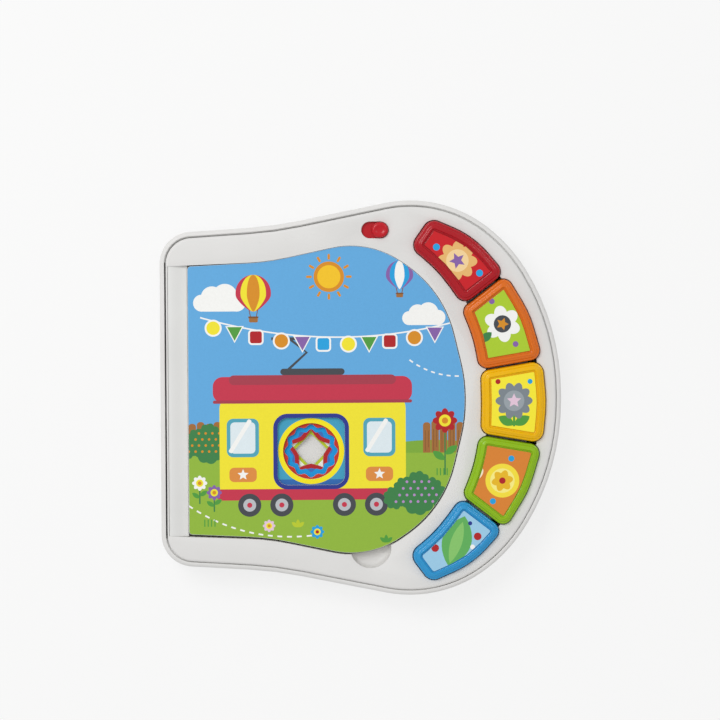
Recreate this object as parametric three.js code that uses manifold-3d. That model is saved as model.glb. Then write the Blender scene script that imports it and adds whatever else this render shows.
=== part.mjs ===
// Electronic board book with a stack of die-cut leaves, five picture buttons and a slide switch.
// Millimetres, +Z up, the book lies on its back with the origin under its middle.
import * as THREE from "three";
import * as BufferGeometryUtils from "three/addons/utils/BufferGeometryUtils.js";
import Module from "manifold-3d";

// Case
const footHeight = 1.5;
const footRadius = 7;
const caseHeight = 30;
const rimDrop = 0.9;
const rimWidth = 2.9;
const rimGap = 1.0;
const rimRound = 1.4;
const faceRound = 1.5;
const facePlate = 2.2;
const caseWall = 2.0;
const baseFloor = 2.2;
const ledgeWidth = 2.7;
const ledgeDepth = 7.5;
const seatGap = 0.3;
const clearance = 0.4;

// Case outline, upper half from left to right: x, y, corner radius
const caseLeft = -125;
const caseHalf = [
  [caseLeft, 103, 20],
  [-54, 107.6, 233],
  [50, 128.8, 79],
  [93.5, 95.5, 100],
  [125, 44.1, 148],
];

// Leaves and the spine
const leafThickness = 2.05;
const leafPitch = 2.2;
const pageLeaves = 4;
const coverThickness = 2.1;
const coverDrop = 0.8;
const pageGap = 1.0;
const trayFloor = 2.0;
const leafGroove = 0.35;
const spineMargin = 1.5;
const spineWidth = 11.6;
const spineDrop = 0.5;
const spineFall = 1.5;
const spineEdge = 0.7;
const bindingDrop = 4.9;
const spineLeft = caseLeft + rimWidth + rimGap + spineMargin;
const creaseX = spineLeft + spineWidth + seatGap;

// Leaf outline, upper half from left to right, as x, distance from the leaves' middle line, corner radius
const leafMiddleY = -0.6;
const leafHalf = [
  [creaseX, 83.3, 2],
  [-58, 85.8, 150],
  [5.3, 99.4, 55],
  [51, 67.6, 72],
  [64.4, 12.2, 94],
];

// Die-cut openings, from the cover down
const windowX = -31.5;
const windowY = -32.7;
const windowSide = 42;
const windowCorner = 6.3;
const ringHoleRadius = 17.5;
const scallopRadius = 14.9;
const scallopDepth = 1.8;
const scallopLobes = 12;
const starTip = 13;
const starWaist = 8.2;
const starPoints = 5;
const lastHoleReach = 10.6;
const lastHoleCorner = 1.5;

// Finger notch at the foot of the leaves
const notchX = 5.3;
const notchY = -93;
const notchRadius = 12.8;
const notchDepth = 8;
const notchWall = 1.8;

// Buttons, corners in order round the outline: x, y, corner radius
const buttonRise = 4.6;
const buttonTravel = 2.5;
const buttonGap = 0.95;
const buttonWall = 2.0;
const buttonRound = 2.2;
const buttonFlange = 1.5;
const flangeThickness = 1.6;
const fieldInset = 6.6;
const fieldDepth = 1.3;
const labelThickness = 0.5;
const labelGap = 0.1;
const plungerRadius = 4;
const plungerDrop = 1.6;
const fanX = -13.5;
const flangeBlend = 6;
const redButton = [
  [30.2, 93.9, 7],
  [46.9, 78.9, 90],
  [62.0, 56.9, 6.5],
  [89.0, 77.7, 6.5],
  [69.9, 100.5, 60],
  [43.0, 112.1, 7],
];
const orangeButton = [
  [62.9, 55.3, 6],
  [70.1, 37.9, 90],
  [73.6, 18.0, 6],
  [112.9, 24.7, 6.5],
  [104.9, 52.5, 70],
  [90.4, 76.6, 6],
];
const yellowButton = [
  [73.8, 16.3, 6],
  [74.2, -2.7, 150],
  [73.8, -21.7, 6],
  [112.9, -28.4, 7],
  [115.3, -2.7, 80],
  [112.9, 23.0, 7],
];
const greenButton = [
  [90.4, -82.0, 6],
  [104.9, -57.9, 70],
  [112.9, -30.1, 6.5],
  [73.6, -23.4, 6],
  [70.1, -43.3, 90],
  [62.9, -60.7, 6],
];
const blueButton = [
  [42.9, -115.2, 7],
  [69.9, -103.9, 60],
  [88.9, -83.1, 6.5],
  [61.9, -62.3, 6.5],
  [46.8, -83.8, 90],
  [30.0, -97.4, 7],
];

// Slide switch
const switchX = 8.8;
const switchY = 104.9;
const slotLength = 17;
const slotWidth = 10.3;
const switchTravel = 6;
const knobRise = 2.6;
const knobClearance = 0.35;
const sliderThickness = 1.4;
const sliderOverlap = 1.2;
const switchBodySize = [21, 8.6, 5];
const pillarInset = 1;
const knobRound = 1;

// Keypad
const boardThickness = 1.6;
const domeHeight = 1.5;
const membraneThickness = 0.8;
const membraneInset = 1.5;
const padRadius = 5.5;
const boardOutline = [
  [106, -28, 12],
  [106, 28, 12],
  [84, 77, 20],
  [52, 103, 5],
  [41, 91, 5],
  [70, 50, 30],
  [77.5, 17, 20],
  [77.5, -17, 20],
  [70, -50, 30],
  [41, -91, 5],
  [52, -103, 5],
  [84, -77, 20],
];
const boardPosts = [[57, 88], [90, 45], [92, 0], [90, -45], [57, -88]];
const boardPostRadius = 3;

// Speaker
const speakerX = 12;
const speakerRadius = 20;
const speakerRim = 1.6;
const coneDepth = 4.5;
const coneTipRadius = 5;
const coneWall = 0.5;
const coneGap = 2.2;
const yokeWidth = 2;
const yokeThickness = 1.2;
const yokeHole = 4;
const frameWall = 1.4;
const magnetRadius = 9;
const magnetClearance = 1.3;
const speakerWall = 1.5;
const grilleHole = 1.3;
const grillePitch = 5.2;
const grilleRings = 3;

// Batteries
const wellClearance = 1.2;
const cellLength = 44.5;
const cellGap = 0.9;
const cellCount = 3;
const cellNub = 1.9;
const cellNubLength = 1.0;
const wellX = -52;
const wellWall = 4.5;
const wellRoof = 1.5;
const contactSpace = 4;
const contactPlate = 0.5;
const contactHeight = 8;
const contactInset = 1;
const springRadius = 1.6;
const doorThickness = 1.8;
const doorStep = 3;
const doorTab = 8;
const doorGap = 0.4;

// Screws
const screwPlaces = [
  [-112, 92.5],
  [-50, 97.6],
  [29.5, 111.8],
  [69, 0],
  [29.5, -111.8],
  [-50, -97.6],
  [-112, -92.5],
];
const postRadius = 3.3;
const bossLength = 13.3;
const screwShank = 1.35;
const screwHole = 1.7;
const screwHead = 2.7;
const screwHeadHeight = 1.8;
const crossWidth = 0.8;
const crossReach = 1.6;
const screwSink = 3.4;
const screwLength = 18;
const doorScrewLength = 8;

// Levels worked out from the sizes above
const caseTop = footHeight + caseHeight;
const rimTop = caseTop - rimDrop;
const floorTop = footHeight + baseFloor;
const ledgeZ = caseTop - ledgeDepth;
const plateUnder = caseTop - facePlate;
const coverTop = caseTop - coverDrop;
const coverUnder = coverTop - coverThickness;
const pagesTop = coverUnder - (leafPitch - leafThickness);
const pagesUnder = pagesTop - leafPitch * (pageLeaves - 1) - leafThickness;
const trayZ = pagesUnder - seatGap;
const trayUnder = trayZ - trayFloor;
const buttonTop = caseTop + buttonRise;
const fieldZ = buttonTop - fieldDepth;
const spineTop = caseTop - spineDrop;
const bindingTop = caseTop - bindingDrop;
const postSplit = plateUnder - bossLength;
const padTop = plateUnder - seatGap - flangeThickness - plungerDrop - buttonTravel - seatGap;
const boardZ = padTop - domeHeight - labelGap - boardThickness;
const cellUnder = footHeight + doorThickness + 2 * seatGap;
const cellRadius = (trayUnder - wellClearance - wellRoof - clearance - cellUnder) / 2;
const cellPitch = 2 * cellRadius + cellGap;
const cut = 1;

// Facet angles of round corners and of long curves
const wideRadius = 12;
const wideStep = Math.PI / 24;
const cornerStep = Math.PI / 6;

const wasm = await Module();
wasm.setup();

// A closed three.js geometry as a solid
function solid(geometry) {
  const bare = geometry.index ? geometry.toNonIndexed() : geometry.clone();
  bare.deleteAttribute("normal");
  bare.deleteAttribute("uv");
  const merged = BufferGeometryUtils.mergeVertices(bare, 1e-4);
  return new wasm.Manifold(new wasm.Mesh({
    numProp: 3,
    vertProperties: new Float32Array(merged.attributes.position.array),
    triVerts: new Uint32Array(merged.index.array),
  }));
}

// The half outline and its mirror image, anticlockwise round a middle line along X
function mirrored(half, middleY = 0) {
  const upper = half.map(([x, y, r]) => [x, middleY + y, r]).reverse();
  const lower = half.map(([x, y, r]) => [x, middleY - y, r]);
  return [...upper, ...lower];
}

// Corner points moved inwards by a distance, with corner radii that keep the wall even
function insetCorners(corners, inset) {
  const count = corners.length;
  const edges = corners.map(([x, y], i) => {
    const [nx, ny] = corners[(i + 1) % count];
    const length = Math.hypot(nx - x, ny - y);
    return { x, y, dx: (nx - x) / length, dy: (ny - y) / length };
  });
  return corners.map(([, , r], i) => {
    const a = edges[(i + count - 1) % count];
    const b = edges[i];
    const ax = a.x - a.dy * inset;
    const ay = a.y + a.dx * inset;
    const bx = b.x - b.dy * inset;
    const by = b.y + b.dx * inset;
    const cross = a.dx * b.dy - a.dy * b.dx;
    const along = Math.abs(cross) < 1e-9
      ? (bx - ax) * a.dx + (by - ay) * a.dy
      : ((bx - ax) * b.dy - (by - ay) * b.dx) / cross;
    const radius = cross >= 0 ? Math.max(r - inset, 0.4) : r + inset;
    return [ax + a.dx * along, ay + a.dy * along, radius];
  });
}

// A polygon with round corners, anticlockwise, as points
function rounded(corners, inset = 0) {
  const list = insetCorners(corners, inset);
  const count = list.length;
  const turns = list.map(([x, y], i) => {
    const [px, py] = list[(i + count - 1) % count];
    const [nx, ny] = list[(i + 1) % count];
    const before = Math.atan2(y - py, x - px);
    const after = Math.atan2(ny - y, nx - x);
    const turn = Math.atan2(Math.sin(after - before), Math.cos(after - before));
    return { before, turn, length: Math.hypot(nx - x, ny - y) };
  });
  const reach = list.map(([, , r], i) => Math.abs(r * Math.tan(turns[i].turn / 2)));
  const points = [];
  list.forEach(([x, y, r], i) => {
    const back = turns[(i + count - 1) % count].length / (reach[i] + reach[(i + count - 1) % count]);
    const ahead = turns[i].length / (reach[i] + reach[(i + 1) % count]);
    const radius = r * Math.min(1, back, ahead);
    const { before, turn } = turns[i];
    const side = Math.sign(turn) || 1;
    const start = Math.abs(radius * Math.tan(turn / 2));
    const sx = x - Math.cos(before) * start;
    const sy = y - Math.sin(before) * start;
    const cx = sx - Math.sin(before) * radius * side;
    const cy = sy + Math.cos(before) * radius * side;
    const step = radius > wideRadius ? wideStep : cornerStep;
    const steps = Math.max(1, Math.ceil(Math.abs(turn) / step));
    for (let k = 0; k <= steps; k += 1) {
      const angle = before - side * Math.PI / 2 + turn * k / steps;
      points.push(new THREE.Vector2(cx + radius * Math.cos(angle), cy + radius * Math.sin(angle)));
    }
  });
  return points.filter((p, i) => p.distanceTo(points[(i + 1) % points.length]) > 0.02);
}

// A prism between two levels, with round edges at both ends if round is given
function prism(points, z0, z1, round = 0) {
  const options = round
    ? { depth: z1 - z0 - 2 * round, bevelSize: round, bevelThickness: round, bevelOffset: -round, bevelSegments: 2 }
    : { depth: z1 - z0, bevelEnabled: false };
  const geometry = new THREE.ExtrudeGeometry(new THREE.Shape(points), { steps: 1, ...options });
  geometry.translate(0, 0, z0 + round);
  return solid(geometry);
}

function circle(x, y, radius, sides = 16) {
  return Array.from({ length: sides }, (_, i) => {
    const angle = 2 * Math.PI * i / sides;
    return new THREE.Vector2(x + radius * Math.cos(angle), y + radius * Math.sin(angle));
  });
}

const disc = (x, y, radius, z0, z1, sides = 16) => prism(circle(x, y, radius, sides), z0, z1);

function block(x0, x1, y0, y1, z0, z1) {
  const geometry = new THREE.BoxGeometry(x1 - x0, y1 - y0, z1 - z0);
  geometry.translate((x0 + x1) / 2, (y0 + y1) / 2, (z0 + z1) / 2);
  return solid(geometry);
}

// A round body turned about an upright axis, from a closed profile of radius and height
function turned(profile, x, y, sides = 24) {
  const geometry = new THREE.LatheGeometry(profile.map(([r, z]) => new THREE.Vector2(r, z)), sides);
  geometry.rotateX(Math.PI / 2);
  geometry.translate(x, y, 0);
  return solid(geometry);
}

// A slot with round ends along X
function stadium(x, y, length, width, sides = 10) {
  const radius = width / 2;
  const half = length / 2 - radius;
  const end = (cx, from) => Array.from({ length: sides + 1 }, (_, i) => {
    const angle = from + Math.PI * i / sides;
    return new THREE.Vector2(cx + radius * Math.cos(angle), y + radius * Math.sin(angle));
  });
  return [...end(x + half, -Math.PI / 2), ...end(x - half, Math.PI / 2)];
}

function joined(first, ...others) {
  return others.reduce((whole, other) => whole.add(other), first);
}

function without(first, ...others) {
  return others.reduce((whole, other) => whole.subtract(other), first);
}

const part = new THREE.Group();

function addPiece(name, shape, color, roughness, metalness = 0) {
  const mesh = shape.getMesh();
  const geometry = new THREE.BufferGeometry();
  geometry.setAttribute("position", new THREE.BufferAttribute(mesh.vertProperties, 3));
  geometry.setIndex(new THREE.BufferAttribute(mesh.triVerts, 1));
  geometry.computeVertexNormals();
  const material = new THREE.MeshStandardMaterial({ color, roughness, metalness });
  const piece = new THREE.Mesh(geometry, material);
  piece.name = name;
  part.add(piece);
}

const caseCorners = mirrored(caseHalf);
const leafCorners = mirrored(leafHalf, leafMiddleY);
const buttons = [
  ["red", redButton, 0xb21e28],
  ["orange", orangeButton, 0xdc7323],
  ["yellow", yellowButton, 0xe6b90a],
  ["green", greenButton, 0x82b919],
  ["blue", blueButton, 0x378cc3],
];
const labelColors = [0xc8202c, 0xa5c828, 0xf5e632, 0xd7872d, 0x9bc8e1];

// The tray outline holds the leaves and runs on to the left under the spine strip
function trayCorners() {
  const [, ...rest] = leafHalf;
  const corner = leafHalf[0];
  return mirrored([[spineLeft + pageGap - seatGap, corner[1], 0], ...rest], leafMiddleY);
}

const trayInset = -pageGap;

// Lower housing: outer wall with the rim, floor, feet, posts, battery well and speaker ring
const wellHalfX = cellPitch * cellCount / 2 + clearance;
const wellHalfY = cellLength / 2 + contactSpace;
const cellZ = cellUnder + cellRadius;
const wellTop = cellZ + cellRadius + clearance;
const doorHalfX = wellHalfX + doorStep;
const doorBack = -wellHalfY - doorStep;
const doorFront = wellHalfY + doorStep + doorTab;
const doorScrewY = wellHalfY + doorStep + doorTab / 2;
const screwSeat = doorThickness / 2;
const feet = [[-98, 74], [-98, -74], [84, 62], [84, -62]];

function lowerHousing() {
  let shape = prism(rounded(caseCorners), footHeight, rimTop, rimRound);
  shape = without(
    shape,
    prism(rounded(caseCorners, rimWidth), ledgeZ, rimTop + cut),
    prism(rounded(caseCorners, rimWidth + ledgeWidth), floorTop, rimTop + cut),
    prism(rounded(trayCorners(), trayInset - caseWall - clearance), trayUnder - seatGap, rimTop + cut)
      .intersect(prism(rounded(caseCorners, rimWidth), floorTop, rimTop + 2 * cut)),
  );
  for (const [x, y] of feet) {
    shape = shape.add(disc(x, y, footRadius, 0, floorTop - cut));
  }
  for (const [x, y] of screwPlaces) {
    shape = shape.add(disc(x, y, postRadius, floorTop - cut, postSplit - seatGap, 10));
  }
  for (const [x, y] of boardPosts) {
    shape = shape.add(disc(x, y, boardPostRadius, floorTop - cut, boardZ - seatGap, 8));
  }
  const [bodyLength, bodyWidth, bodyHeight] = switchBodySize;
  const pillarTop = sliderUnder - seatGap - bodyHeight - seatGap;
  shape = shape.add(block(
    switchX - bodyLength / 2 + pillarInset, switchX + bodyLength / 2 - pillarInset,
    switchY - bodyWidth / 2 + pillarInset, switchY + bodyWidth / 2 - pillarInset,
    floorTop - cut, pillarTop,
  ));
  shape = shape.add(block(
    wellX - wellHalfX - wellWall, wellX + wellHalfX + wellWall,
    doorBack - wellWall + doorStep, doorFront + wellWall - doorStep,
    floorTop - cut, wellTop + wellRoof,
  ));
  shape = without(
    shape,
    block(wellX - wellHalfX, wellX + wellHalfX, -wellHalfY, wellHalfY, footHeight - cut, wellTop),
    block(
      wellX - doorHalfX, wellX + doorHalfX, doorBack, doorFront,
      footHeight - cut, footHeight + doorThickness + seatGap,
    ),
    disc(wellX, doorScrewY, screwHole, footHeight, footHeight + doorScrewLength + clearance, 12),
  );
  const ringTop = floorTop + speakerRim + cut;
  const ringInside = speakerRadius + clearance;
  const ring = without(
    disc(speakerX, 0, ringInside + speakerWall, floorTop - cut, ringTop, 40),
    disc(speakerX, 0, ringInside, floorTop, ringTop + cut, 40),
  );
  shape = shape.add(ring);
  for (const [x, y] of grillePlaces()) {
    shape = shape.subtract(disc(x, y, grilleHole, footHeight - cut, floorTop + cut, 8));
  }
  for (const [x, y] of screwPlaces) {
    shape = without(
      shape,
      disc(x, y, screwHole, footHeight - cut, postSplit + cut, 8),
      disc(x, y, screwHead + clearance / 2, footHeight - cut, footHeight + screwSink, 12),
    );
  }
  return shape;
}

function grillePlaces() {
  const places = [[speakerX, 0]];
  for (let ring = 1; ring < grilleRings; ring += 1) {
    for (let k = 0; k < 6 * ring; k += 1) {
      const angle = 2 * Math.PI * k / (6 * ring);
      places.push([
        speakerX + ring * grillePitch * Math.cos(angle),
        ring * grillePitch * Math.sin(angle),
      ]);
    }
  }
  return places;
}

// Upper housing: face with round edges, skirt, leaf tray, finger notch, openings and screw bosses
function upperHousing() {
  const faceInset = rimWidth + rimGap;
  const skirtZ = ledgeZ + seatGap;
  let shape = prism(rounded(caseCorners, faceInset), skirtZ, caseTop, faceRound);
  shape = shape.subtract(prism(rounded(caseCorners, faceInset + caseWall), skirtZ - cut, plateUnder));
  const trayBox = prism(rounded(trayCorners(), trayInset - caseWall), trayUnder, plateUnder + cut / 2);
  const faceColumn = prism(rounded(caseCorners, faceInset), trayUnder - cut, plateUnder + cut);
  const notchFloor = caseTop - notchDepth;
  shape = shape.add(trayBox.intersect(faceColumn));
  shape = shape.add(disc(notchX, notchY, notchRadius + notchWall, notchFloor - notchWall, caseTop - cut, 32));
  for (const [x, y] of screwPlaces) {
    shape = shape.add(disc(x, y, postRadius, postSplit, plateUnder + cut / 2, 10));
  }
  shape = without(
    shape,
    prism(rounded(trayCorners(), trayInset), trayZ, caseTop + cut),
    disc(notchX, notchY, notchRadius, notchFloor, caseTop + cut, 32),
    prism(stadium(switchX, switchY, slotLength, slotWidth), plateUnder - cut, caseTop + cut),
  );
  for (const [, corners] of buttons) {
    shape = shape.subtract(prism(rounded(corners, -buttonGap), plateUnder - cut, caseTop + cut));
    shape = shape.subtract(prism(
      rounded(corners, -buttonFlange - clearance),
      plateUnder - flangeThickness - buttonTravel - 2 * seatGap, plateUnder,
    ));
  }
  for (const [x, y] of screwPlaces) {
    shape = shape.subtract(disc(x, y, screwHole, postSplit - cut, screwTop + clearance, 8));
  }
  return shape;
}

const screwTop = footHeight + screwSink - screwHeadHeight + screwLength;
const sliderTop = plateUnder - seatGap;
const sliderUnder = sliderTop - sliderThickness;

// Leaves bound at the left under the spine strip, with the die-cut steps below the window
function pageBlock() {
  const bindingY = leafHalf[0][1];
  let shape = prism(rounded(leafCorners, leafGroove), pagesUnder, pagesTop);
  for (let leaf = 0; leaf < pageLeaves; leaf += 1) {
    const z = pagesTop - leaf * leafPitch;
    shape = shape.add(prism(rounded(leafCorners), z - leafThickness, z));
  }
  shape = shape.add(block(
    spineLeft, creaseX + cut, leafMiddleY - bindingY, leafMiddleY + bindingY, pagesUnder, bindingTop,
  ));
  const openings = [
    circle(windowX, windowY, ringHoleRadius, 36),
    scalloped(scallopRadius),
    star(starTip, starWaist),
    rounded(diamondCorners()),
  ];
  openings.forEach((points, leaf) => {
    const top = pagesTop - leaf * leafPitch + (leaf ? 0 : cut);
    const bottom = leaf === pageLeaves - 1 ? pagesUnder - cut : pagesTop - (leaf + 1) * leafPitch;
    shape = shape.subtract(prism(points, bottom, top));
  });
  return shape;
}

function scalloped(radius) {
  const steps = scallopLobes * 4;
  return Array.from({ length: steps }, (_, i) => {
    const angle = 2 * Math.PI * i / steps;
    const r = radius + scallopDepth * Math.sin(angle * scallopLobes / 2) ** 2;
    return new THREE.Vector2(windowX + r * Math.cos(angle), windowY + r * Math.sin(angle));
  });
}

function diamondCorners() {
  return [0, 1, 2, 3].map((quarter) => {
    const angle = quarter * Math.PI / 2;
    return [
      windowX + lastHoleReach * Math.cos(angle),
      windowY + lastHoleReach * Math.sin(angle),
      lastHoleCorner,
    ];
  });
}

function star(tip, waist) {
  return Array.from({ length: 2 * starPoints }, (_, i) => {
    const angle = Math.PI / 2 + Math.PI * i / starPoints;
    const r = i % 2 ? waist : tip;
    return new THREE.Vector2(windowX + r * Math.cos(angle), windowY + r * Math.sin(angle));
  });
}

function frontCover() {
  const half = windowSide / 2;
  const windowCorners = [
    [windowX + half, windowY - half, windowCorner],
    [windowX + half, windowY + half, windowCorner],
    [windowX - half, windowY + half, windowCorner],
    [windowX - half, windowY - half, windowCorner],
  ];
  return without(
    prism(rounded(leafCorners), coverUnder, coverTop, leafGroove),
    prism(rounded(windowCorners), coverUnder - cut, coverTop + cut),
  );
}

// Spine strip: a bar over the binding whose face rolls down towards the leaves
function spineStrip() {
  const bindingY = leafHalf[0][1] + pageGap - clearance;
  const left = spineLeft;
  const right = creaseX - seatGap;
  const width = right - left;
  const profile = [
    [left, bindingTop + seatGap],
    [right, bindingTop + seatGap],
    [right, spineTop - spineFall - spineEdge],
    [right - spineEdge, spineTop - spineFall - spineEdge / 3],
    [right - width * 0.3, spineTop - spineFall],
    [left + width * 0.4, spineTop - spineFall * 0.45],
    [left + width * 0.15, spineTop - spineFall * 0.08],
    [left + spineEdge, spineTop],
    [left, spineTop - spineEdge],
  ];
  const shape = new THREE.Shape(profile.map(([x, z]) => new THREE.Vector2(x, z)));
  const geometry = new THREE.ExtrudeGeometry(shape, { depth: 2 * bindingY, steps: 1, bevelEnabled: false });
  geometry.rotateX(Math.PI / 2);
  geometry.translate(0, leafMiddleY + bindingY, 0);
  return solid(geometry);
}

// A button cap: domed frame, recessed picture field, retaining flange, hollow inside with a plunger
function buttonCap(corners) {
  const flangeTop = plateUnder - seatGap;
  const flangeUnder = flangeTop - flangeThickness;
  const [cx, cy] = middle(corners);
  let shape = prism(rounded(corners), flangeUnder - buttonRound, buttonTop, buttonRound);
  shape = shape.subtract(prism(rounded(corners, -cut), flangeUnder - buttonRound - cut, flangeUnder));
  shape = shape.add(prism(flangeOutline(corners), flangeUnder, flangeTop));
  shape = without(
    shape,
    prism(rounded(corners, fieldInset), fieldZ, buttonTop + cut),
    prism(rounded(corners, buttonWall + buttonRound / 2), flangeUnder - cut, fieldZ - buttonWall),
  );
  return shape.add(disc(cx, cy, plungerRadius, flangeUnder - plungerDrop, fieldZ - cut, 16));
}

// The flange stays clear of the next button, so it stands out only inwards and outwards
function flangeOutline(corners) {
  return rounded(corners, 0).map((p) => {
    const [cx, cy] = middle(corners);
    const away = Math.atan2(cy, cx - fanX);
    const side = (p.x - cx) * Math.cos(away) + (p.y - cy) * Math.sin(away);
    const shift = buttonFlange * Math.max(-1, Math.min(1, side / flangeBlend));
    return new THREE.Vector2(p.x + shift * Math.cos(away), p.y + shift * Math.sin(away));
  });
}

function middle(corners) {
  const x = corners.reduce((sum, c) => sum + c[0], 0) / corners.length;
  const y = corners.reduce((sum, c) => sum + c[1], 0) / corners.length;
  return [x, y];
}

function buttonLabel(corners) {
  const z = fieldZ + labelGap;
  return prism(rounded(corners, fieldInset + labelGap), z, z + labelThickness);
}

function keypadMembrane() {
  const z = boardZ + boardThickness + labelGap;
  let shape = prism(rounded(boardOutline, membraneInset), z, z + membraneThickness);
  for (const [, corners] of buttons) {
    const [cx, cy] = middle(corners);
    shape = shape.add(disc(cx, cy, padRadius, z, padTop, 16));
  }
  return shape;
}

function switchKnob() {
  const knobLength = slotLength - switchTravel - 2 * knobClearance;
  const knobX = switchX + slotLength / 2 - knobClearance - knobLength / 2;
  const sliderLength = slotLength + switchTravel + 2 * sliderOverlap;
  const sliderX = switchX + switchTravel / 2;
  const knobWidth = slotWidth - 2 * knobClearance;
  return joined(
    prism(stadium(sliderX, switchY, sliderLength, slotWidth + 2 * sliderOverlap), sliderUnder, sliderTop),
    without(
      prism(stadium(knobX, switchY, knobLength, knobWidth), sliderUnder - cut, caseTop + knobRise, knobRound),
      block(0, 2 * switchX, switchY - slotWidth, switchY + slotWidth, sliderUnder - 2 * cut, sliderUnder),
    ),
  );
}

function switchBody() {
  const [length, width, height] = switchBodySize;
  const top = sliderUnder - seatGap;
  return block(
    switchX - length / 2, switchX + length / 2, switchY - width / 2, switchY + width / 2, top - height, top,
  );
}

const yokeTop = floorTop + seatGap + coneDepth + coneGap + yokeThickness;

function speakerFrame() {
  const z = floorTop + seatGap;
  return turned([
    [speakerRadius, z],
    [speakerRadius, z + speakerRim],
    [magnetRadius + yokeWidth, yokeTop - yokeThickness],
    [magnetRadius + yokeWidth, yokeTop],
    [yokeHole, yokeTop],
    [yokeHole, yokeTop - yokeThickness],
    [magnetRadius + yokeWidth - frameWall, yokeTop - 2 * yokeThickness],
    [speakerRadius - frameWall, z],
    [speakerRadius, z],
  ], speakerX, 0, 24);
}

function speakerCone() {
  const z = floorTop + seatGap;
  return turned([
    [0, z + coneDepth / 2],
    [coneTipRadius, z + coneDepth / 2],
    [speakerRadius - frameWall - 2 * coneWall, z],
    [speakerRadius - frameWall - 3 * coneWall, z + coneWall],
    [coneTipRadius, z + coneDepth],
    [0, z + coneDepth],
    [0, z + coneDepth / 2],
  ], speakerX, 0, 24);
}

function speakerMagnet() {
  return disc(speakerX, 0, magnetRadius, yokeTop + labelGap, trayUnder - magnetClearance, 28);
}

// A dry cell lying along Y, its nub to +Y or -Y
function batteryCell(index) {
  const x = wellX + (index - (cellCount - 1) / 2) * cellPitch;
  const direction = index % 2 ? -1 : 1;
  const half = cellLength / 2;
  const profile = [
    [0, -half],
    [cellRadius - 0.4, -half],
    [cellRadius, -half + 0.4],
    [cellRadius, half - cellNubLength - 0.5],
    [cellRadius - 0.5, half - cellNubLength],
    [cellNub, half - cellNubLength],
    [cellNub, half],
    [0, half],
  ].map(([r, y]) => new THREE.Vector2(r, y));
  const geometry = new THREE.LatheGeometry(profile, 16);
  if (direction < 0) {
    geometry.rotateZ(Math.PI);
  }
  geometry.translate(x, 0, cellZ);
  return solid(geometry);
}

// Contact strip at one end of the cells, with a bump towards each cell
function batteryContacts(side) {
  const plateY = side * (wellHalfY - seatGap);
  const inner = plateY - side * contactPlate;
  const reach = side * (cellLength / 2 + seatGap);
  let shape = block(
    wellX - wellHalfX + contactInset, wellX + wellHalfX - contactInset,
    Math.min(plateY, inner), Math.max(plateY, inner),
    cellZ - contactHeight / 2, cellZ + contactHeight / 2,
  );
  for (let index = 0; index < cellCount; index += 1) {
    const x = wellX + (index - (cellCount - 1) / 2) * cellPitch;
    const length = Math.abs(inner - reach) + contactPlate / 2;
    const geometry = new THREE.CylinderGeometry(springRadius, 2 * springRadius, length, 10);
    geometry.rotateX(side > 0 ? Math.PI : 0);
    geometry.translate(x, reach + side * length / 2, cellZ);
    shape = shape.add(solid(geometry));
  }
  return shape;
}

function batteryDoor() {
  const shape = block(
    wellX - doorHalfX + doorGap, wellX + doorHalfX - doorGap,
    doorBack + doorGap, doorFront - doorGap,
    footHeight, footHeight + doorThickness,
  );
  return without(
    shape,
    disc(wellX, doorScrewY, screwHole, footHeight - cut, footHeight + doorThickness + cut, 12),
    disc(wellX, doorScrewY, screwHead + clearance / 2, footHeight - cut, footHeight + screwSeat, 16),
  );
}

// A pan-head screw driven upwards, with a cross slot in its head
function screw(x, y, headZ, length, headHeight) {
  const shape = joined(
    disc(x, y, screwHead, headZ, headZ + headHeight, 12),
    disc(x, y, screwShank, headZ + headHeight / 2, headZ + length, 8),
  );
  const depth = headHeight / 2;
  const slot = crossWidth / 2;
  return without(
    shape,
    block(x - crossReach, x + crossReach, y - slot, y + slot, headZ - cut, headZ + depth),
    block(x - slot, x + slot, y - crossReach, y + crossReach, headZ - cut, headZ + depth),
  );
}

const caseGrey = 0xe0e0de;
addPiece("lower_housing", lowerHousing(), caseGrey, 0.45);
addPiece("upper_housing", upperHousing(), caseGrey, 0.45);
addPiece("spine_strip", spineStrip(), 0xe4e4e2, 0.4);
addPiece("page_block", pageBlock(), 0x3e93c6, 0.35);
addPiece("front_cover", frontCover(), 0x60a8dc, 0.3);

buttons.forEach(([name, corners, color], index) => {
  addPiece(`button_${name}`, buttonCap(corners), color, 0.35);
  addPiece(`label_${name}`, buttonLabel(corners), labelColors[index], 0.5);
});

addPiece("switch_knob", switchKnob(), 0xc01c28, 0.35);
addPiece("switch_body", switchBody(), 0x303030, 0.5, 0.3);
addPiece("keypad_membrane", keypadMembrane(), 0xd8d8d4, 0.7);
addPiece("circuit_board", prism(rounded(boardOutline), boardZ, boardZ + boardThickness), 0x2f7a3c, 0.5);
addPiece("speaker_frame", speakerFrame(), 0x9a9a9a, 0.4, 0.8);
addPiece("speaker_cone", speakerCone(), 0x202020, 0.8);
addPiece("speaker_magnet", speakerMagnet(), 0x505458, 0.4, 0.8);

for (let index = 0; index < cellCount; index += 1) {
  addPiece(`battery_${index + 1}`, batteryCell(index), 0x8f9296, 0.35, 0.4);
}
addPiece("battery_contacts_front", batteryContacts(1), 0xb8b8b8, 0.3, 0.9);
addPiece("battery_contacts_back", batteryContacts(-1), 0xb8b8b8, 0.3, 0.9);
addPiece("battery_door", batteryDoor(), caseGrey, 0.45);
addPiece(
  "battery_door_screw",
  screw(wellX, doorScrewY, footHeight, doorScrewLength, screwSeat - labelGap),
  0xa8a8a8, 0.3, 0.9,
);
screwPlaces.forEach(([x, y], index) => {
  const headZ = footHeight + screwSink - screwHeadHeight - labelGap;
  addPiece(`case_screw_${index + 1}`, screw(x, y, headZ, screwLength, screwHeadHeight), 0xa8a8a8, 0.3, 0.9);
});

export default part;
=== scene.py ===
import math

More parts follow.
